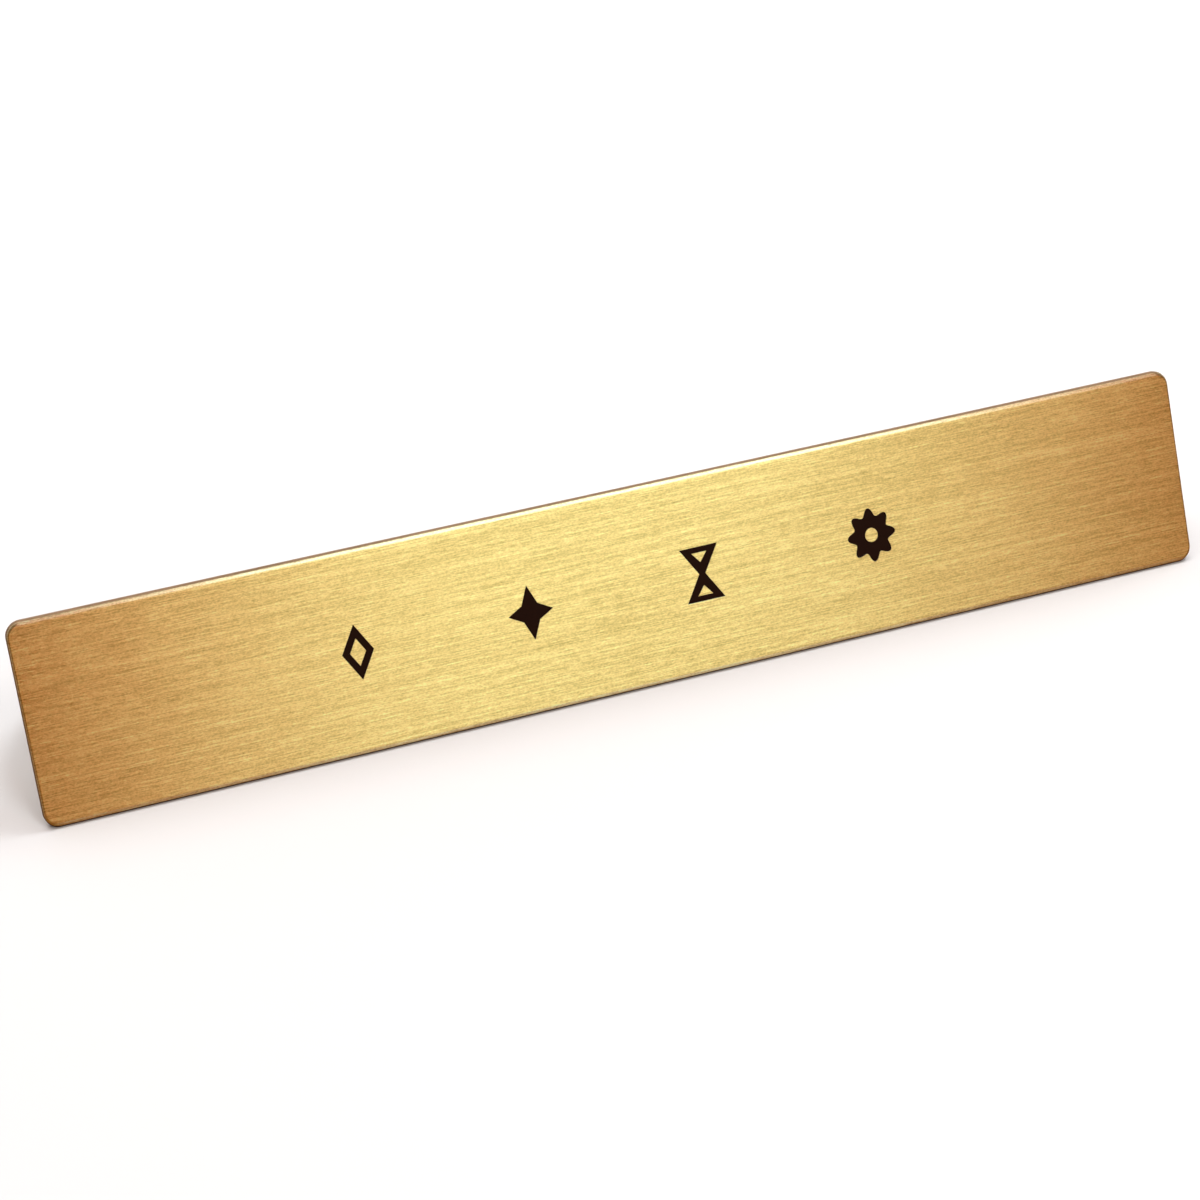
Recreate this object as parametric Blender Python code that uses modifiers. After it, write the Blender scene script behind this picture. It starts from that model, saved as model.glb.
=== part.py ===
"""Desk paperweight: a thin engraved brass plate that leans back on a heavy brass bar.

Metres, +Z up, the engraved face looks towards -Y, the long axis is X.
"""

import math

import bmesh
import bpy
import numpy as np
from mathutils import Matrix, Vector

MM = 0.001

# Face plate
PLATE_LENGTH = 180 * MM
PLATE_HEIGHT = 30 * MM
PLATE_THICKNESS = 1.2 * MM
CORNER_RADIUS = 2.3 * MM
FRONT_EASE_WIDTH = 0.95 * MM
FRONT_EASE_DEPTH = 0.48 * MM
BACK_EASE = 0.15 * MM
LEAN_DEG = 30.0
PLATE_CLEARANCE = 0.1 * MM
MITRE_START = 0.20 * MM

# Engraved row of ornaments
ORNAMENT_HEIGHT = 8.2 * MM
ORNAMENT_WIDTHS = (4.8 * MM, 6.9 * MM, 6.0 * MM, 7.7 * MM)
ORNAMENT_GAP = 20.3 * MM
ORNAMENT_STROKE = 1.05 * MM
ROW_CENTRE_X = -0.9 * MM
POCKET_DEPTH = 0.30 * MM
FILL_RECESS = 0.05 * MM
FILL_FIT = 0.05 * MM

# Weight bar: an equilateral triangle in section, so its front face leans back as the plate does
BAR_SIDE = 26 * MM
BAR_LENGTH = 168 * MM
BAR_EDGE = 0.6 * MM

# Tape between plate and bar, and the pad under the bar
TAPE_THICKNESS = 0.8 * MM
TAPE_SIZE = (72 * MM, 16 * MM)
TAPE_CENTRE_X = 42 * MM
TAPE_ABOVE_BAR_FOOT = 12 * MM
PAD_THICKNESS = 1.2 * MM
PAD_SIZE = (164 * MM, 22 * MM)
PAD_CORNER = 2 * MM
CONTACT_GAP = 0.05 * MM

ARC_STEPS = 10
EASE_STEPS = 5


def clear_scene():
    for obj in list(bpy.data.objects):
        bpy.data.objects.remove(obj)


def new_collection(name):
    collection = bpy.data.collections.new(name)
    bpy.context.scene.collection.children.link(collection)
    return collection


def new_material(name, colour, roughness, metallic):
    material = bpy.data.materials.new(name)
    material.use_nodes = True
    shader = material.node_tree.nodes["Principled BSDF"]
    shader.inputs["Base Color"].default_value = (*colour, 1.0)
    shader.inputs["Roughness"].default_value = roughness
    shader.inputs["Metallic"].default_value = metallic
    return material


def rounded_rectangle(width, height, radius, steps=ARC_STEPS):
    """Corner points of a rounded rectangle about the origin, counterclockwise."""
    points = []
    for quarter in range(4):
        sx = 1 if quarter in (0, 3) else -1
        sy = 1 if quarter in (0, 1) else -1
        centre = (sx * (width / 2 - radius), sy * (height / 2 - radius))
        for step in range(steps + 1):
            turn = math.radians(90 * (quarter + step / steps))
            points.append(
                (centre[0] + radius * math.cos(turn), centre[1] + radius * math.sin(turn))
            )
    return points


def offset_outline(points, distance):
    """The outline grown outwards by distance; each side moves along its own normal."""
    outline = np.array(points)
    ahead = np.roll(outline, -1, axis=0) - outline
    ahead /= np.linalg.norm(ahead, axis=1)[:, None]
    normal = np.stack([ahead[:, 1], -ahead[:, 0]], axis=1)
    before = np.roll(normal, 1, axis=0)
    mitre = (normal + before) / (1 + (normal * before).sum(axis=1))[:, None]
    return (outline + distance * mitre).tolist()


def lofted(name, rings):
    """A closed body through rings of 3-D points, capped at both ends."""
    shape = bmesh.new()
    loops = [[shape.verts.new(point) for point in ring] for ring in rings]
    count = len(loops[0])
    for low, high in zip(loops, loops[1:]):
        for i in range(count):
            j = (i + 1) % count
            shape.faces.new((low[i], low[j], high[j], high[i]))
    shape.faces.new(list(reversed(loops[0])))
    shape.faces.new(loops[-1])
    bmesh.ops.recalc_face_normals(shape, faces=shape.faces)
    mesh = bpy.data.meshes.new(name)
    shape.to_mesh(mesh)
    shape.free()
    return mesh


def prism(name, outlines, low, high):
    """A flat body with straight sides: the first outline, less any that follow."""
    curve = bpy.data.curves.new(name, "CURVE")
    curve.dimensions = "2D"
    curve.fill_mode = "BOTH"
    curve.extrude = (high - low) / 2
    for outline in outlines:
        spline = curve.splines.new("POLY")
        spline.points.add(len(outline) - 1)
        spline.use_cyclic_u = True
        for point, (x, y) in zip(spline.points, outline):
            point.co = (x, y, 0, 1)
    holder = bpy.data.objects.new(name, curve)
    bpy.context.scene.collection.objects.link(holder)
    mesh = bpy.data.meshes.new_from_object(holder)
    bpy.data.objects.remove(holder)
    bpy.data.curves.remove(curve)
    shape = bmesh.new()
    shape.from_mesh(mesh)
    bmesh.ops.remove_doubles(shape, verts=shape.verts, dist=1e-7)
    bmesh.ops.recalc_face_normals(shape, faces=shape.faces)
    bmesh.ops.translate(shape, verts=shape.verts, vec=(0, 0, (low + high) / 2))
    shape.to_mesh(mesh)
    shape.free()
    mesh.name = name
    return mesh


def lozenge(width, height, grow):
    """A slim open lozenge."""
    outer = [(width / 2, 0), (0, height / 2), (-width / 2, 0), (0, -height / 2)]
    return [
        offset_outline(outer, grow),
        offset_outline(outer, -ORNAMENT_STROKE - grow),
    ]


def star(width, height, grow):
    """A four-pointed star with straight sides."""
    waist = 0.18 * width
    points = []
    for tip, side in (
        ((width / 2, 0), (1, 1)),
        ((0, height / 2), (-1, 1)),
        ((-width / 2, 0), (-1, -1)),
        ((0, -height / 2), (1, -1)),
    ):
        points.append(tip)
        points.append((side[0] * waist, side[1] * waist))
    return [offset_outline(points, grow)]


def hourglass(width, height, grow):
    """Two open triangles that meet at a narrow waist."""
    half, top, waist = width / 2, height / 2, 0.5 * MM
    outer = [(waist, 0), (half, top), (-half, top), (-waist, 0), (-half, -top), (half, -top)]
    stroke = 0.85 * ORNAMENT_STROKE
    upper = [(0, 0.35 * MM), (half, top), (-half, top)]
    lower = [(0, -0.35 * MM), (-half, -top), (half, -top)]
    return [
        offset_outline(outer, grow),
        offset_outline(upper, -stroke - grow),
        offset_outline(lower, -stroke - grow),
    ]


def rosette(width, height, grow):
    """Eight round petals about a small open eye."""
    petals = []
    eye = []
    for step in range(96):
        turn = 2 * math.pi * step / 96
        reach = 0.86 + 0.14 * math.cos(8 * turn)
        petals.append((width / 2 * reach * math.cos(turn), height / 2 * reach * math.sin(turn)))
    for step in range(24):
        turn = 2 * math.pi * step / 24
        eye.append((0.13 * width * math.cos(turn), 0.13 * height * math.sin(turn)))
    return [offset_outline(petals, grow), offset_outline(eye, -grow)]


def ornaments():
    """(name, x of its centre, width, outline maker) of each ornament, left to right."""
    makers = (lozenge, star, hourglass, rosette)
    row = sum(ORNAMENT_WIDTHS) + ORNAMENT_GAP * (len(makers) - 1)
    left = ROW_CENTRE_X - row / 2
    placed = []
    for maker, width in zip(makers, ORNAMENT_WIDTHS):
        placed.append((maker.__name__, left + width / 2, width, maker))
        left += width + ORNAMENT_GAP
    return placed


def plate_mesh():
    """The plate about its own centre: X along it, Y up it, front face at Z = 0."""
    layers = [(BACK_EASE, -PLATE_THICKNESS), (0.0, BACK_EASE - PLATE_THICKNESS)]
    for step in range(EASE_STEPS + 1):
        turn = math.radians(90 * step / EASE_STEPS)
        inset = FRONT_EASE_WIDTH * (1 - math.cos(turn))
        layers.append((inset, -FRONT_EASE_DEPTH * (1 - math.sin(turn))))
    rings = []
    for inset, depth in layers:
        outline = rounded_rectangle(
            PLATE_LENGTH - 2 * inset, PLATE_HEIGHT - 2 * inset, CORNER_RADIUS - inset
        )
        rings.append([(x, y, depth) for x, y in outline])
    return lofted("face_plate", rings)


def bar_mesh():
    """The bar with its front foot on the X axis and its section in the YZ plane."""
    section = [(0, 0), (BAR_SIDE, 0), (BAR_SIDE / 2, BAR_SIDE * math.sqrt(3) / 2)]
    rings = [[(x, y, z) for y, z in section] for x in (-BAR_LENGTH / 2, BAR_LENGTH / 2)]
    return lofted("weight_bar", rings)


def add_part(name, mesh, material, collection, matrix):
    mesh.materials.append(material)
    mesh.transform(matrix)
    mesh.shade_smooth()
    mesh.set_sharp_from_angle(angle=math.radians(35))
    part = bpy.data.objects.new(name, mesh)
    collection.objects.link(part)
    return part


def cut(part, cutter, collection, matrix):
    mesh = cutter
    mesh.transform(matrix)
    helper = bpy.data.objects.new("cut_" + mesh.name, mesh)
    helper.hide_render = True
    helper.display_type = "WIRE"
    collection.objects.link(helper)
    boolean = part.modifiers.new(helper.name, "BOOLEAN")
    boolean.operation = "DIFFERENCE"
    boolean.solver = "EXACT"
    boolean.object = helper


def round_edges(part, width):
    bevel = part.modifiers.new("edge_rounding", "BEVEL")
    bevel.width = width
    bevel.segments = 3
    bevel.limit_method = "ANGLE"
    bevel.angle_limit = math.radians(30)


def centre_footprint(parts, helpers):
    """Puts the middle of the footprint on the Z axis; the pad already stands at Z = 0."""
    graph = bpy.context.evaluated_depsgraph_get()
    depths = []
    for part in parts:
        mesh = part.evaluated_get(graph).to_mesh()
        depths += [vertex.co.y for vertex in mesh.vertices]
    shift = Matrix.Translation((0, -(min(depths) + max(depths)) / 2, 0))
    for obj in parts + helpers:
        obj.data.transform(shift)


def build():
    clear_scene()
    body = new_collection("paperweight")
    cutters = new_collection("cutters")
    cutters.hide_render = True

    brass = new_material("brushed_brass", (0.80, 0.56, 0.24), 0.32, 1.0)
    solid_brass = new_material("bar_brass", (0.74, 0.52, 0.23), 0.38, 1.0)
    paint = new_material("brown_paint", (0.035, 0.012, 0.004), 0.45, 0.0)
    foam = new_material("black_foam", (0.02, 0.02, 0.02), 0.85, 0.0)
    felt = new_material("dark_felt", (0.045, 0.032, 0.026), 0.95, 0.0)

    lean = math.radians(LEAN_DEG)
    up_plate = Vector((0, math.sin(lean), math.cos(lean)))
    out_of_face = Vector((0, -math.cos(lean), math.sin(lean)))
    tilt = Matrix.Rotation(math.radians(90 - LEAN_DEG), 4, "X")

    # The bar's front foot is the reference: the tape and the plate lie on its sloping face.
    foot = Vector((0, 0, PAD_THICKNESS))
    face = foot + out_of_face * (TAPE_THICKNESS + PLATE_THICKNESS)
    lowest = PLATE_CLEARANCE + MITRE_START * math.sin(lean)
    plate_foot = face + up_plate * ((lowest - face.z) / up_plate.z)
    to_plate = Matrix.Translation(plate_foot + up_plate * PLATE_HEIGHT / 2) @ tilt

    plate = add_part("face_plate", plate_mesh(), brass, body, to_plate)
    parts = [plate]
    # The plate's lower edge is mitred level, so that it stands flush just above the desk.
    under = prism(
        "mitre",
        [rounded_rectangle(1.1 * PLATE_LENGTH, PLATE_HEIGHT, CORNER_RADIUS)],
        PLATE_CLEARANCE - 5 * MM,
        PLATE_CLEARANCE,
    )
    cut(plate, under, cutters, Matrix.Translation((0, plate_foot.y, 0)))
    for name, x, width, maker in ornaments():
        place = to_plate @ Matrix.Translation((x, 0, 0))
        pocket = prism(name, maker(width, ORNAMENT_HEIGHT, 0), -POCKET_DEPTH, POCKET_DEPTH)
        cut(plate, pocket, cutters, place)
        filling = prism(
            "fill_" + name,
            maker(width, ORNAMENT_HEIGHT, -FILL_FIT),
            FILL_FIT - POCKET_DEPTH,
            -FILL_RECESS,
        )
        parts.append(add_part("fill_" + name, filling, paint, body, place))

    bar = add_part("weight_bar", bar_mesh(), solid_brass, body, Matrix.Translation(foot))
    round_edges(bar, BAR_EDGE)
    parts.append(bar)

    for side, name in ((-1, "tape_left"), (1, "tape_right")):
        strip = prism(
            name,
            [rounded_rectangle(*TAPE_SIZE, 0.5 * MM, 3)],
            CONTACT_GAP,
            TAPE_THICKNESS - CONTACT_GAP,
        )
        centre = foot + up_plate * TAPE_ABOVE_BAR_FOOT
        centre.x = side * TAPE_CENTRE_X
        parts.append(add_part(name, strip, foam, body, Matrix.Translation(centre) @ tilt))

    pad = prism(
        "base_pad",
        [rounded_rectangle(*PAD_SIZE, PAD_CORNER, 6)],
        0,
        PAD_THICKNESS - CONTACT_GAP,
    )
    under_bar = Matrix.Translation((0, BAR_SIDE / 2, 0))
    parts.append(add_part("base_pad", pad, felt, body, under_bar))

    centre_footprint(parts, list(cutters.objects))


build()
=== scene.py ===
"""Looks of the desk paperweight: brushed plate, painted engraving, brass bar, tape and felt pad."""

import math

import bmesh
import bpy
from mathutils import Matrix, Vector


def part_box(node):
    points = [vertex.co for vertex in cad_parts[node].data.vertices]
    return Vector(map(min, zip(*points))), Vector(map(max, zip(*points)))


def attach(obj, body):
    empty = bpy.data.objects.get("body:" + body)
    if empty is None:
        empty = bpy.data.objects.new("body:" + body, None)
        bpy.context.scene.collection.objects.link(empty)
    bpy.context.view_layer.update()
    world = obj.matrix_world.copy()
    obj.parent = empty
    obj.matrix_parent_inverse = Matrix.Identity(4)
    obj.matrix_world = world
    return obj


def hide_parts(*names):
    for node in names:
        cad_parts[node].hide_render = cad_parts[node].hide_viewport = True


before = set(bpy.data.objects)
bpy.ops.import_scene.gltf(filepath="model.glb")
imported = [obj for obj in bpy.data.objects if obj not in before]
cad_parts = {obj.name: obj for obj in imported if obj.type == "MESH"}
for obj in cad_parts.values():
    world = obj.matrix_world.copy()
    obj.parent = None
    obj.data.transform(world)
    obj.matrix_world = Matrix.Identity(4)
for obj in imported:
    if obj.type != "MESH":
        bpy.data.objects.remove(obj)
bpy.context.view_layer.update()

MM = 0.001

# The plate's design, as in the CAD
LEAN = math.radians(30)
PLATE_HEIGHT = 30 * MM
PLATE_THICKNESS = 1.2 * MM
CORNER_RADIUS = 2.3 * MM
EDGE_RADIUS = 0.54 * MM
EDGE_LEAD_IN = 2.6 * MM
EDGE_LEAD_IN_DEG = 10.0
END_EASE_SHARE = 0.40
BACK_EASE = 0.15 * MM
POCKET_DEPTH = 0.30 * MM
FILL_FIT = 0.05 * MM
BAR_EDGE = 0.28 * MM
BAR_LEAST_EDGE = 0.03 * MM
MITRE_CUTTER = (220 * MM, 60 * MM)
MITRE_CUTTER_DEPTH = 5 * MM
UP_PLATE = Vector((0, math.sin(LEAN), math.cos(LEAN)))
OUT_OF_FACE = Vector((0, -math.cos(LEAN), math.sin(LEAN)))

# How finely round shapes are divided, and how near counts as touching
ROUND_STEPS = 4
CORNER_STEPS = 16
EDGE_STEPS = 18
EDGE_SUBSTEPS = 40
BAR_CORNER_STEPS = 8
CUTTER_CORNER_STEPS = 2
WELD = 1e-6
LEVEL = 1e-7

# The camera, about the middle of the face's lower edge
CAMERA_AZIMUTH = -19.83
CAMERA_ELEVATION = 39.38
CAMERA_DISTANCE = 463.9 * MM
CAMERA_AIM = Vector((-7.52 * MM, 0, 18.96 * MM))
CAMERA_LENS = 97.2

# Light: a warm room, a softbox over the right shoulder and a weaker one behind the plate
AMBIENT_FRONT = (0.180, 0.083, 0.019)
AMBIENT_BACK = (0.60, 0.66, 0.72)
FRONT_TO_BACK = (-0.25, 0.35)
KEY = (0.257, -0.58, 0.767)
KEY_SIZE = (0.40, 0.40)
KEY_RADIANCE = 6.85
KEY_COLOUR = (0.775, 0.955, 0.985)
WARM_SIZE = (0.62, 0.40)
WARM_RADIANCE = 1.80
WARM_COLOUR = (1.0, 0.11, 0.0)
SIDE = (0.70, 0.45, 0.90)
SIDE_SIZE = (0.50, 0.50)
SIDE_RADIANCE = 12.0
SIDE_COLOUR = (0.95, 1.0, 1.03)
FILL = (-0.18, 0.45, 1.05)
FILL_SIZE = (0.90, 0.90)
FILL_RADIANCE = 3.8
FILL_COLOUR = (1.0, 0.96, 0.93)
FLOOR_REACH = 4
FLOOR_DROP = 0.02 * MM
FLOOR_SHOWN = (0.690, 0.678, 0.676)
FLOOR_BOUNCED = (0.20, 0.085, 0.018)

# The plate's colours, and where in its own axes they meet
BRASS = (0.90, 0.66, 0.245)
# Painted highlight: a paler brass on the rounded edge just past the face, where the softbox's
# highlight lies
EDGE_PAINTED_HIGHLIGHT = (0.95, 0.80, 0.46)
# Painted shade: the sheared edge walls are painted dark brown, for the dark outline round the plate
SHEARED_EDGE_SHADE = (0.22, 0.13, 0.06)
# Painted shadow: near-black on the edge along the lower side, for the contact shadow where the plate
# meets the table
FOOT_CONTACT_SHADOW = (0.02, 0.010, 0.004)
STREAK_TINT = (0.90, 1.0, 1.35)
HIGHLIGHT_FROM, HIGHLIGHT_TO = -0.002 * MM, -0.035 * MM
EDGE_SHADE_FROM, EDGE_SHADE_TO = -0.12 * MM, -0.22 * MM
BACK_FROM, BACK_TO = -1.16 * MM, -1.02 * MM
CONTACT_SHADOW_FROM, CONTACT_SHADOW_TO = -14.3 * MM, -14.7 * MM


# ---------------------------------------------------------------- shapes


def extent(name, direction):
    """How far a CAD node reaches along a direction: (least, most)."""
    reach = [vertex.co.dot(direction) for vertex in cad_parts[name].data.vertices]
    return min(reach), max(reach)


def rounded_rectangle(width, height, radius, steps):
    points = []
    for quarter in range(4):
        sx = 1 if quarter in (0, 3) else -1
        sy = 1 if quarter in (0, 1) else -1
        centre = (sx * (width / 2 - radius), sy * (height / 2 - radius))
        for step in range(steps + 1):
            turn = math.radians(90 * (quarter + step / steps))
            points.append(
                (centre[0] + radius * math.cos(turn), centre[1] + radius * math.sin(turn))
            )
    return points


def lofted(name, rings, caps=True):
    shape = bmesh.new()
    loops = [[shape.verts.new(point) for point in ring] for ring in rings]
    count = len(loops[0])
    for low, high in zip(loops, loops[1:]):
        for i in range(count):
            j = (i + 1) % count
            shape.faces.new((low[i], low[j], high[j], high[i]))
    if caps:
        shape.faces.new(list(reversed(loops[0])))
        shape.faces.new(loops[-1])
    bmesh.ops.recalc_face_normals(shape, faces=shape.faces)
    mesh = bpy.data.meshes.new(name)
    shape.to_mesh(mesh)
    shape.free()
    return mesh


def placed(name, mesh, matrix):
    piece = bpy.data.objects.new(name, mesh)
    piece.matrix_world = matrix
    bpy.context.scene.collection.objects.link(piece)
    return piece


def smooth(piece, degrees=35):
    piece.data.shade_smooth()
    piece.data.set_sharp_from_angle(angle=math.radians(degrees))


def across_brushing(mesh, to_plate):
    """Stores on each face the direction across its brushing."""
    turn = to_plate.to_3x3()
    layer = mesh.attributes.new("across", "FLOAT_VECTOR", "CORNER")
    for face in mesh.polygons:
        across = turn @ Vector((0, 1, 0) if abs(face.normal.z) > 0.2 else (0, 0, 1))
        for index in face.loop_indices:
            layer.data[index].vector = across


def weigh_normals(piece):
    """Vertex normals follow the large faces, so that a flat face shades flat up to its edge."""
    weighted = piece.modifiers.new("weighted", "WEIGHTED_NORMAL")
    weighted.mode = "FACE_AREA"
    weighted.weight = 100
    weighted.keep_sharp = True
    graph = bpy.context.evaluated_depsgraph_get()
    mesh = bpy.data.meshes.new_from_object(piece.evaluated_get(graph))
    piece.modifiers.clear()
    piece.data = mesh


def pocket_cutter(node, to_plate):
    """The pocket that a paint filling lies in: its own outline, a hair wider."""
    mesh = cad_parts[node].data.copy()
    mesh.transform(to_plate.inverted())
    shape = bmesh.new()
    shape.from_mesh(mesh)
    bmesh.ops.remove_doubles(shape, verts=shape.verts, dist=WELD)
    bmesh.ops.dissolve_limit(
        shape, angle_limit=math.radians(1), verts=shape.verts, edges=shape.edges
    )
    for vertex in shape.verts:
        walls = [face.normal for face in vertex.link_faces if abs(face.normal.z) < 0.5]
        out = Vector((0, 0, 0))
        seen = []
        for normal in walls:
            if all((normal - other).length > 0.01 for other in seen):
                seen.append(normal.copy())
        for normal in seen:
            out += normal
        if len(seen) == 2:
            out /= 1 + seen[0].dot(seen[1])
        elif len(seen) == 1:
            out = seen[0]
        vertex.co += out * FILL_FIT
    middle = sum(vertex.co.z for vertex in shape.verts) / len(shape.verts)
    for vertex in shape.verts:
        vertex.co.z = -POCKET_DEPTH if vertex.co.z < middle else POCKET_DEPTH
    bmesh.ops.recalc_face_normals(shape, faces=shape.faces)
    shape.to_mesh(mesh)
    shape.free()
    return mesh


def edge_profile(steps):
    """(inset, depth) from the side wall to the face: a radius that opens out towards the face."""
    inset, depth, profile = 0.0, 0.0, [(0.0, 0.0)]
    parts = steps * EDGE_SUBSTEPS
    for step in range(parts):
        tilt = 90 * (step + 0.5) / parts
        arc = math.radians(90 / parts)
        radius = EDGE_RADIUS + EDGE_LEAD_IN * math.exp(-tilt / EDGE_LEAD_IN_DEG)
        inset += radius * arc * math.cos(math.radians(tilt))
        depth += radius * arc * math.sin(math.radians(tilt))
        if (step + 1) % EDGE_SUBSTEPS == 0:
            profile.append((inset, depth))
    return [(inset - across, -down) for across, down in reversed(profile)]


def flat_normals(mesh):
    """Corner normals: flat on flat faces, and level with the face where the rounded edge meets it."""
    normals = [corner.vector.copy() for corner in mesh.corner_normals]
    up = Vector((0, 0, 1))
    for face in mesh.polygons:
        flat = abs(face.normal.z) > 0.9999
        for index in face.loop_indices:
            point = mesh.vertices[mesh.loops[index].vertex_index].co
            if flat:
                normals[index] = face.normal.copy()
            elif face.normal.z > 0.5 and point.z > -LEVEL:
                normals[index] = up
    mesh.normals_split_custom_set(normals)


def face_foot():
    """The middle of the face's lower edge, where it would be without the mitre."""
    top = extent("face_plate", UP_PLATE)[1]
    front = extent("face_plate", OUT_OF_FACE)[1]
    return UP_PLATE * (top - PLATE_HEIGHT) + OUT_OF_FACE * front


def build_plate(fills):
    left, right = extent("face_plate", Vector((1, 0, 0)))
    centre = face_foot() + UP_PLATE * PLATE_HEIGHT / 2
    to_plate = Matrix.Translation(centre) @ Matrix.Rotation(math.pi / 2 - LEAN, 4, "X")
    layers = []
    for step in range(ROUND_STEPS + 1):
        turn = math.radians(90 * step / ROUND_STEPS)
        inset = BACK_EASE * (1 - math.sin(turn))
        layers.append((inset, -PLATE_THICKNESS + BACK_EASE * (1 - math.cos(turn))))
    layers += edge_profile(EDGE_STEPS)
    rings = []
    for inset, depth in layers:
        along = inset * END_EASE_SHARE
        length, height = right - left - 2 * along, PLATE_HEIGHT - 2 * inset
        outline = rounded_rectangle(length, height, CORNER_RADIUS - inset, CORNER_STEPS)
        rings.append([(x, y, depth) for x, y in outline])
    plate = placed("brushed_face_plate", lofted("brushed_face_plate", rings), to_plate)
    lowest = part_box("face_plate")[0][2]
    level = rounded_rectangle(*MITRE_CUTTER, CORNER_RADIUS, CUTTER_CORNER_STEPS)
    rings = [[(x, y, z) for x, y in level] for z in (lowest - MITRE_CUTTER_DEPTH, lowest)]
    below = Matrix.Translation((0, centre.y, 0))
    helpers = [placed("cut_mitre", lofted("cut_mitre", rings), below)]
    for node in fills:
        helpers.append(placed("cut_" + node, pocket_cutter(node, to_plate), to_plate))
    for helper in helpers:
        boolean = plate.modifiers.new(helper.name, "BOOLEAN")
        boolean.solver = "EXACT"
        boolean.object = helper
    graph = bpy.context.evaluated_depsgraph_get()
    mesh = bpy.data.meshes.new_from_object(plate.evaluated_get(graph))
    plate.modifiers.clear()
    plate.data = mesh
    for helper in helpers:
        bpy.data.objects.remove(helper)
    across_brushing(plate.data, to_plate)
    smooth(plate)
    flat_normals(plate.data)
    plate.data.transform(to_plate)
    plate.matrix_world = Matrix.Identity(4)
    return plate, to_plate


def rounded_triangle(side, inset, radius, steps):
    """Equilateral triangle on its side, first corner at the origin, moved in by inset."""
    height = side * math.sqrt(3) / 2
    centre = (side / 2, height / 3)
    shrink = 1 - inset / (height / 3)
    points = []
    for corner, aim in (((side, 0), -30), ((side / 2, height), 90), ((0, 0), 210)):
        reach = [centre[i] + (corner[i] - centre[i]) * shrink for i in (0, 1)]
        toward = math.radians(aim)
        hub = [
            reach[0] - 2 * radius * math.cos(toward),
            reach[1] - 2 * radius * math.sin(toward),
        ]
        for step in range(steps + 1):
            turn = math.radians(aim - 60 + 120 * step / steps)
            points.append(
                (hub[0] + radius * math.cos(turn), hub[1] + radius * math.sin(turn))
            )
    return points


def build_bar():
    low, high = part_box("weight_bar")
    front = extent("weight_bar", OUT_OF_FACE)[1]
    behind = Vector((0, -OUT_OF_FACE.y, OUT_OF_FACE.z))
    back = extent("weight_bar", behind)[1]
    foot_y = (front - OUT_OF_FACE.z * low[2]) / OUT_OF_FACE.y
    side = (back - behind.z * low[2]) / behind.y - foot_y
    rings = []
    turns = [math.radians(90 * step / ROUND_STEPS) for step in range(ROUND_STEPS + 1)]
    for sign, end, order in ((-1, low[0], turns[::-1]), (1, high[0], turns)):
        for turn in order:
            inset = BAR_EDGE * (1 - math.cos(turn))
            x = end - sign * BAR_EDGE * (1 - math.sin(turn))
            radius = max(BAR_EDGE - inset, BAR_LEAST_EDGE)
            outline = rounded_triangle(side, inset, radius, BAR_CORNER_STEPS)
            rings.append([(x, y, z) for y, z in outline])
    bar = placed(
        "drawn_weight_bar",
        lofted("drawn_weight_bar", rings),
        Matrix.Translation((0, foot_y, low[2])),
    )
    smooth(bar)
    weigh_normals(bar)
    return bar


fills = ["fill_lozenge", "fill_star", "fill_hourglass", "fill_rosette"]
plate, to_plate = build_plate(fills)
bar = build_bar()


# ---------------------------------------------------------------- materials


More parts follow.
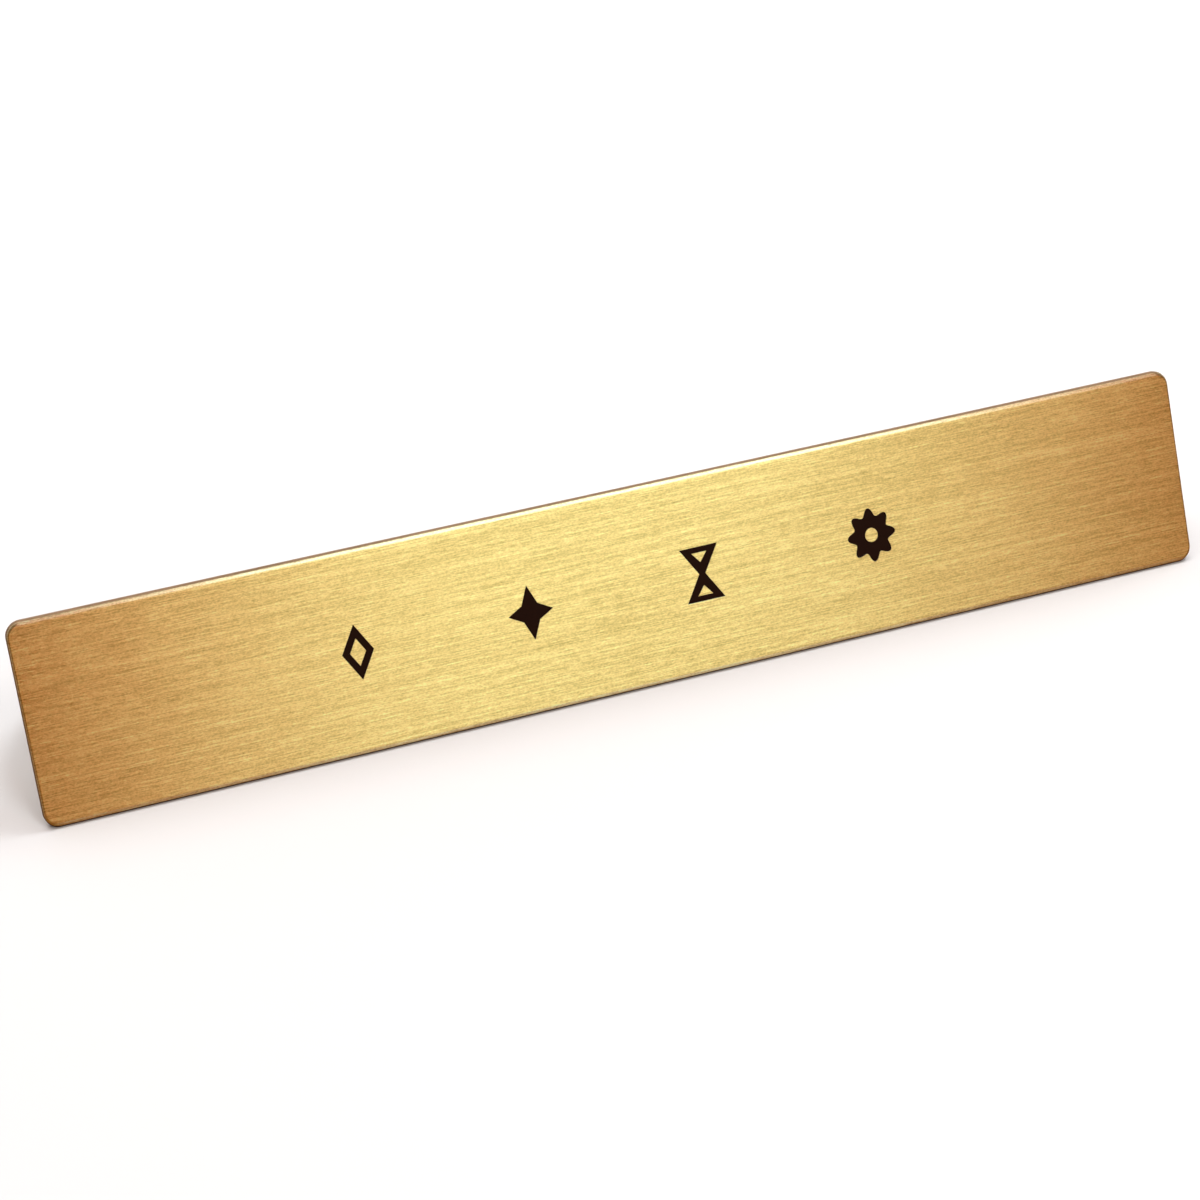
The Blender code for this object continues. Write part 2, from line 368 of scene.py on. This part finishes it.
class Shader:
    """Short names for building a node tree."""

    def __init__(self, name):
        self.material = bpy.data.materials.new(name)
        self.material.use_nodes = True
        self.tree = self.material.node_tree
        self.bsdf = self.tree.nodes["Principled BSDF"]
        self.coords = self.tree.nodes.new("ShaderNodeTexCoord").outputs["Object"]

    def fixed(self, **values):
        for name, value in values.items():
            self.bsdf.inputs[name.replace("_", " ")].default_value = value

    def link(self, source, target):
        self.tree.links.new(source, target)

    def node(self, kind, **settings):
        made = self.tree.nodes.new(kind)
        for name, value in settings.items():
            setattr(made, name, value)
        return made

    def math(self, operation, a, b=0.0, clamp=False):
        made = self.node("ShaderNodeMath", operation=operation, use_clamp=clamp)
        for socket, value in zip(made.inputs, (a, b)):
            if isinstance(value, (int, float)):
                socket.default_value = value
            else:
                self.link(value, socket)
        return made.outputs[0]

    def grain(self, size, detail=2.0, shift=0.0, roughness=0.5):
        """Noise whose features are about `size` millimetres along x, y and z."""
        mapping = self.node("ShaderNodeMapping")
        mapping.inputs["Location"].default_value = (shift, shift * 1.7, shift * 0.6)
        mapping.inputs["Scale"].default_value = [1 / (s * MM) for s in size]
        self.link(self.coords, mapping.inputs["Vector"])
        made = self.node("ShaderNodeTexNoise")
        made.inputs["Scale"].default_value = 1.0
        made.inputs["Detail"].default_value = detail
        made.inputs["Roughness"].default_value = roughness
        self.link(mapping.outputs[0], made.inputs["Vector"])
        return made.outputs[0]

    def crisp(self, source):
        """The same noise, pulled apart into thin light strokes on a darker ground."""
        return self.spread(source, 0.38, 0.72, 0.0, 1.0, smooth=True)

    def spread(self, source, low, high, out_low, out_high, smooth=False):
        made = self.node("ShaderNodeMapRange", clamp=True)
        if smooth:
            made.interpolation_type = "SMOOTHSTEP"
        for index, value in enumerate((low, high, out_low, out_high), 1):
            made.inputs[index].default_value = value
        self.link(source, made.inputs[0])
        return made.outputs[0]

    def total(self, terms, start=0.0):
        """start plus each (noise - 0.5) times its weight."""
        result = start
        for source, weight in terms:
            part = self.math("MULTIPLY", self.math("SUBTRACT", source, 0.5), weight)
            result = self.math("ADD", part, result)
        return result

    def tinted(self, colour, tone):
        """The colour times a tone that varies over the surface, into the base colour."""
        made = self.node("ShaderNodeVectorMath", operation="SCALE")
        made.inputs[0].default_value = colour
        self.link(tone, made.inputs["Scale"])
        self.link(made.outputs[0], self.bsdf.inputs["Base Color"])

    def blended(self, source, colour, factor):
        """The source, giving way to a fixed colour as the factor rises."""
        made = self.node("ShaderNodeMix", data_type="RGBA")
        self.link(source, made.inputs[6])
        made.inputs[7].default_value = (*colour, 1)
        self.link(factor, made.inputs[0])
        return made.outputs[2]

    def between(self, low, high, factor):
        made = self.node("ShaderNodeMix", data_type="RGBA")
        made.inputs[6].default_value = (*low, 1)
        made.inputs[7].default_value = (*high, 1)
        self.link(factor, made.inputs[0])
        return made.outputs[2]

    def bump(self, height, distance, strength=1.0):
        made = self.node("ShaderNodeBump")
        made.inputs["Strength"].default_value = strength
        made.inputs["Distance"].default_value = distance
        self.link(height, made.inputs["Height"])
        self.link(made.outputs[0], self.bsdf.inputs["Normal"])
        return made


def brushed_brass(to_plate):
    s = Shader("brushed_brass_look")
    s.fixed(Anisotropic=1.0, Coat_Roughness=0.25)
    # The grain, the painted edge highlight and the painted edge shade are laid out in the plate's own
    # axes: length, height, depth.
    own_axes = s.node("ShaderNodeMapping", vector_type="TEXTURE")
    own_axes.inputs["Location"].default_value = to_plate.translation
    own_axes.inputs["Rotation"].default_value = to_plate.to_euler()
    s.link(s.coords, own_axes.inputs["Vector"])
    s.coords = own_axes.outputs[0]
    across = s.node("ShaderNodeAttribute", attribute_name="across")
    turned = s.node(
        "ShaderNodeVectorTransform",
        vector_type="VECTOR",
        convert_from="OBJECT",
        convert_to="WORLD",
    )
    s.link(across.outputs["Vector"], turned.inputs[0])
    s.link(turned.outputs[0], s.bsdf.inputs["Tangent"])
    hair = s.crisp(s.grain((7, 0.14, 0.14), 3, 3.1, 0.7))
    lines = s.crisp(s.grain((28, 0.42, 0.42), 3, 7.7, 0.6))
    dashes = s.crisp(s.grain((2.2, 0.18, 0.18), 2, 5.2, 0.6))
    broad = s.grain((60, 2.5, 2.5), 2, 1.3)
    dust = s.grain((0.35, 0.22, 0.22), 1, 8.8)
    fleck = s.grain((0.9, 0.30, 0.30), 2, 4.6)
    patch = s.grain((26, 14, 14), 2, 9.4)
    tone = s.total(
        [
            (hair, 0.34),
            (dashes, 0.20),
            (lines, 0.22),
            (fleck, 0.35),
            (dust, 0.72),
            (broad, 0.15),
            (patch, 0.12),
        ],
        0.12,
    )
    tint = s.node("ShaderNodeVectorMath", operation="MULTIPLY_ADD")
    s.link(tone, tint.inputs[0])
    tint.inputs[1].default_value = STREAK_TINT
    tint.inputs[2].default_value = (1, 1, 1)
    # Past the face the rounded edge is painted paler as a painted highlight. The sheared edge walls
    # are then painted dark brown and not metallic as painted shade, and nearly black along the lower
    # edge as a painted contact shadow. The back is left plain.
    place = s.node("ShaderNodeSeparateXYZ")
    s.link(s.coords, place.inputs[0])
    # Painted highlight: the base colour turns paler on the rounded edge
    edge_highlight = s.spread(place.outputs["Z"], HIGHLIGHT_FROM, HIGHLIGHT_TO, 0.0, 1.0, smooth=True)
    # Painted shade: the sheared edge walls turn dark brown and not metallic, except on the back
    edge_shade = s.spread(place.outputs["Z"], EDGE_SHADE_FROM, EDGE_SHADE_TO, 0.0, 1.0, smooth=True)
    front = s.spread(place.outputs["Z"], BACK_FROM, BACK_TO, 0.0, 1.0, smooth=True)
    edge_shade = s.math("MULTIPLY", edge_shade, front)
    # Painted shadow: along the lower edge the painted edge shade turns nearly black, as a contact
    # shadow
    foot = s.spread(place.outputs["Y"], CONTACT_SHADOW_FROM, CONTACT_SHADOW_TO, 0.0, 1.0, smooth=True)
    colour = s.blended(s.between(BRASS, EDGE_PAINTED_HIGHLIGHT, edge_highlight), SHEARED_EDGE_SHADE, edge_shade)
    colour = s.blended(colour, FOOT_CONTACT_SHADOW, s.math("MULTIPLY", edge_shade, foot))
    metal_share = s.math("SUBTRACT", 1.0, edge_shade)
    s.link(metal_share, s.bsdf.inputs["Metallic"])
    s.link(s.math("MULTIPLY", metal_share, 0.6), s.bsdf.inputs["Coat Weight"])
    toned = s.node("ShaderNodeVectorMath", operation="MULTIPLY")
    s.link(colour, toned.inputs[0])
    s.link(tint.outputs[0], toned.inputs[1])
    s.link(toned.outputs[0], s.bsdf.inputs["Base Color"])
    rough = s.total([(hair, 0.05), (dashes, 0.03), (dust, 0.10), (patch, 0.03)], 0.350)
    s.link(rough, s.bsdf.inputs["Roughness"])
    height = s.total([(hair, 0.3), (lines, 0.3), (dashes, 0.5), (fleck, 0.5), (dust, 0.16)], 0.5)
    s.bump(height, 0.010 * MM)
    return s.material


def brown_paint():
    s = Shader("brown_paint_look")
    s.fixed(Roughness=0.6, Specular_IOR_Level=0.15)
    speck = s.grain((0.5, 0.5, 0.5), 2, 2.0)
    s.tinted((0.015, 0.003, 0.0005), s.total([(speck, 0.5)], 1.0))
    s.bump(speck, 0.01 * MM, 0.5)
    return s.material


def bar_brass():
    """Drawn and brushed along its length; the two ends are sawn."""
    s = Shader("bar_brass_look")
    s.fixed(Metallic=1.0)
    drawn = s.crisp(s.grain((18, 0.25, 0.25), 3, 4.1, 0.65))
    sawn = s.crisp(s.grain((0.5, 0.22, 5), 3, 7.2, 0.6))
    coarse = s.grain((40, 1.2, 1.2), 2, 2.9)
    patch = s.grain((12, 9, 9), 3, 6.0)
    facing = s.node("ShaderNodeSeparateXYZ")
    s.link(s.node("ShaderNodeTexCoord").outputs["Normal"], facing.inputs[0])
    end = s.spread(s.math("ABSOLUTE", facing.outputs["X"]), 0.5, 0.9, 0.0, 1.0)
    along = s.math("MULTIPLY", drawn, s.math("SUBTRACT", 1.0, end))
    strokes = s.math("ADD", along, s.math("MULTIPLY", sawn, end))
    tone = s.total([(strokes, 0.35), (coarse, 0.18), (patch, 0.24)], 1.0)
    s.tinted((0.87, 0.57, 0.24), tone)
    s.link(s.total([(strokes, 0.16), (patch, 0.14)], 0.36), s.bsdf.inputs["Roughness"])
    s.bump(strokes, 0.012 * MM)
    return s.material


def black_foam():
    s = Shader("black_foam_look")
    cells = s.node("ShaderNodeTexVoronoi")
    cells.inputs["Scale"].default_value = 6000
    s.link(s.coords, cells.inputs["Vector"])
    s.tinted((0.022, 0.022, 0.024), s.total([(cells.outputs["Distance"], 0.8)], 1.0))
    s.fixed(Roughness=0.9)
    s.bump(cells.outputs["Distance"], 0.05 * MM)
    return s.material


def dark_felt():
    s = Shader("dark_felt_look")
    fibres = s.grain((0.35, 0.35, 0.35), 4, 1.0, 0.7)
    clumps = s.grain((3, 3, 3), 3, 2.0)
    s.tinted((0.05, 0.034, 0.026), s.total([(fibres, 1.2), (clumps, 0.5)], 1.0))
    s.fixed(Roughness=1.0)
    s.bump(fibres, 0.12 * MM)
    return s.material


def pale_floor():
    """White to the eye; what the brass sees of it is dimmer and warmer, as under a dark room."""
    s = Shader("pale_floor")
    path = s.node("ShaderNodeLightPath")
    shown = s.node("ShaderNodeBsdfDiffuse")
    shown.inputs["Color"].default_value = (*FLOOR_SHOWN, 1)
    bounced = s.node("ShaderNodeBsdfDiffuse")
    bounced.inputs["Color"].default_value = (*FLOOR_BOUNCED, 1)
    mixed = s.node("ShaderNodeMixShader")
    s.link(path.outputs["Is Camera Ray"], mixed.inputs[0])
    s.link(bounced.outputs[0], mixed.inputs[1])
    s.link(shown.outputs[0], mixed.inputs[2])
    s.link(mixed.outputs[0], s.tree.nodes["Material Output"].inputs["Surface"])
    return s.material


plate.data.materials.clear()
plate.data.materials.append(brushed_brass(to_plate))
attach(plate, "root")
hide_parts("face_plate")

bar.data.materials.clear()
bar.data.materials.append(bar_brass())
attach(bar, "root")
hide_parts("weight_bar")

for name, material in (
    ("tape_left", black_foam()),
    ("tape_right", black_foam()),
    ("base_pad", dark_felt()),
):
    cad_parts[name].data.materials.clear()
    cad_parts[name].data.materials.append(material)
paint = brown_paint()
for name in fills:
    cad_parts[name].data.materials.clear()
    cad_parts[name].data.materials.append(paint)


# ---------------------------------------------------------------- stage, light, camera


def pointed(obj, place, target):
    obj.location = place
    obj.rotation_euler = (Vector(target) - Vector(place)).to_track_quat("-Z", "Y").to_euler()
    bpy.context.scene.collection.objects.link(obj)
    return obj


def direction(azimuth, elevation):
    """Unit vector; azimuth 0 is in front of the plate, positive to the right."""
    a, e = math.radians(azimuth), math.radians(elevation)
    return Vector((math.sin(a) * math.cos(e), -math.cos(a) * math.cos(e), math.sin(e)))


def softbox(name, offset, size, radiance, colour, target):
    lamp = bpy.data.lights.new(name, "AREA")
    lamp.shape = "RECTANGLE"
    lamp.size, lamp.size_y = size
    lamp.energy = radiance * math.pi * size[0] * size[1]
    lamp.color = colour
    return pointed(bpy.data.objects.new(name, lamp), Vector(target) + Vector(offset), target)


foot = face_foot()
middle = Vector((0, foot.y + 8 * MM, 13 * MM))

mesh = bpy.data.meshes.new("floor")
near, far = -FLOOR_REACH, FLOOR_REACH
corners = [(near, near, 0), (far, near, 0), (far, far, 0), (near, far, 0)]
mesh.from_pydata(corners, [], [(0, 1, 2, 3)])
floor = placed("floor", mesh, Matrix.Translation((0, 0, -FLOOR_DROP)))
floor.data.materials.append(pale_floor())

world = bpy.data.worlds.new("studio")
bpy.context.scene.world = world
world.use_nodes = True
tree = world.node_tree
background = tree.nodes["Background"]
background.inputs["Strength"].default_value = 1.0
sky = tree.nodes.new("ShaderNodeTexCoord")
split = tree.nodes.new("ShaderNodeSeparateXYZ")
tree.links.new(sky.outputs["Generated"], split.inputs[0])
toward_back = tree.nodes.new("ShaderNodeMapRange")
toward_back.interpolation_type = "SMOOTHSTEP"
for socket, value in zip(toward_back.inputs[1:5], (*FRONT_TO_BACK, 0.0, 1.0)):
    socket.default_value = value
tree.links.new(split.outputs["Y"], toward_back.inputs[0])
room = tree.nodes.new("ShaderNodeMix")
room.data_type = "RGBA"
room.inputs[6].default_value = (*AMBIENT_FRONT, 1)
room.inputs[7].default_value = (*AMBIENT_BACK, 1)
tree.links.new(toward_back.outputs[0], room.inputs[0])
tree.links.new(room.outputs[2], background.inputs["Color"])
seen = tree.nodes.new("ShaderNodeBackground")
seen.inputs["Color"].default_value = (1, 1, 1, 1)
path = tree.nodes.new("ShaderNodeLightPath")
mixed = tree.nodes.new("ShaderNodeMixShader")
tree.links.new(path.outputs["Is Camera Ray"], mixed.inputs[0])
tree.links.new(background.outputs[0], mixed.inputs[1])
tree.links.new(seen.outputs[0], mixed.inputs[2])
tree.links.new(mixed.outputs[0], tree.nodes["World Output"].inputs["Surface"])

softbox("key", KEY, KEY_SIZE, KEY_RADIANCE, KEY_COLOUR, middle)
softbox("warm", KEY, WARM_SIZE, WARM_RADIANCE, WARM_COLOUR, middle)
# These two only shape the shadow: in the brushed metal they would leave streaks of their own.
side = softbox("side", SIDE, SIDE_SIZE, SIDE_RADIANCE, SIDE_COLOUR, middle)
fill = softbox("fill", FILL, FILL_SIZE, FILL_RADIANCE, FILL_COLOUR, middle)
side.visible_glossy = fill.visible_glossy = False

camera = bpy.data.cameras.new("camera")
camera.lens = CAMERA_LENS
camera.sensor_width = 36
camera.clip_start = 0.01
aim = foot + CAMERA_AIM
eye = aim + direction(CAMERA_AZIMUTH, CAMERA_ELEVATION) * CAMERA_DISTANCE
bpy.context.scene.camera = pointed(bpy.data.objects.new("camera", camera), eye, aim)
bpy.context.scene.view_settings.view_transform = "Standard"
